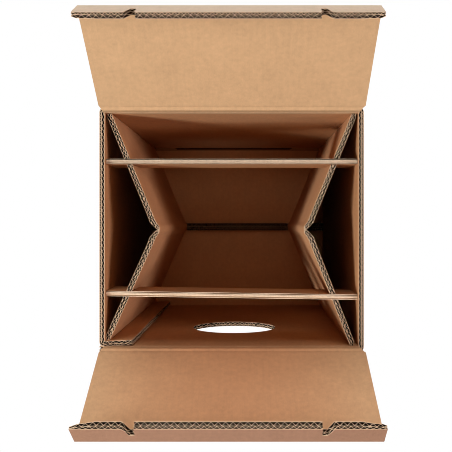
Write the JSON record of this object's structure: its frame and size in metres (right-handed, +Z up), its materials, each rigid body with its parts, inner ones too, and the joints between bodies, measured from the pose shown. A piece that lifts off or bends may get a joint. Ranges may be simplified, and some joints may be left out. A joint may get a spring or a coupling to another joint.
{
  "type": "bottle shipping box",
  "caption": "Open corrugated shipping box for bottles, with hinged lid flaps, notched tuck lips, folded side inserts and slotted cross straps.",
  "frame": {"origin": "centre of the underside, where the two bottom flaps meet", "axes": "+Z up out of the open top, +X to the right and +Y to the back, seen from above as in the picture; -Y is the wall with the round hand hole"},
  "size_m": [0.333, 0.4702, 0.6403],
  "materials": {
    "wall_board": "matte",
    "insert_board": "matte"
  },
  "bodies": {
    "box": {"box_body": "wall_board", "side_insert_left": "insert_board", "side_insert_right": "insert_board", "cross_strap_back": "insert_board", "cross_strap_front": "insert_board"},
    "front_flap": {"top_flap_front": "wall_board"},
    "back_flap": {"top_flap_back": "wall_board"},
    "front_lip": {"tuck_lip_front": "wall_board"},
    "back_lip": {"tuck_lip_back": "wall_board"}
  },
  "joints": [
    {"name": "front_flap_hinge", "type": "hinge", "parent": "box", "child": "front_flap", "pos_m": [0, -0.1528, 0.4885], "axis": [1, 0, 0], "range_deg": [-110.7, 121]},
    {"name": "back_flap_hinge", "type": "hinge", "parent": "box", "child": "back_flap", "pos_m": [0, 0.1528, 0.4885], "axis": [-1, 0, 0], "range_deg": [-119.7, 112]},
    {"name": "front_lip_fold", "type": "hinge", "parent": "front_flap", "child": "front_lip", "pos_m": [0, -0.22552, 0.61969], "axis": [1, 0, 0], "range_deg": [-18.5, 20.3]},
    {"name": "back_lip_fold", "type": "hinge", "parent": "back_flap", "child": "back_lip", "pos_m": [0, 0.24515, 0.6067], "axis": [-1, 0, 0], "range_deg": [-21.5, 20.2]}
  ],
  "couplings": [
    {"joint": "front_lip_fold", "follows": "front_flap_hinge", "ratio": 0.1671},
    {"joint": "back_lip_fold", "follows": "back_flap_hinge", "ratio": 0.1796}
  ]
}
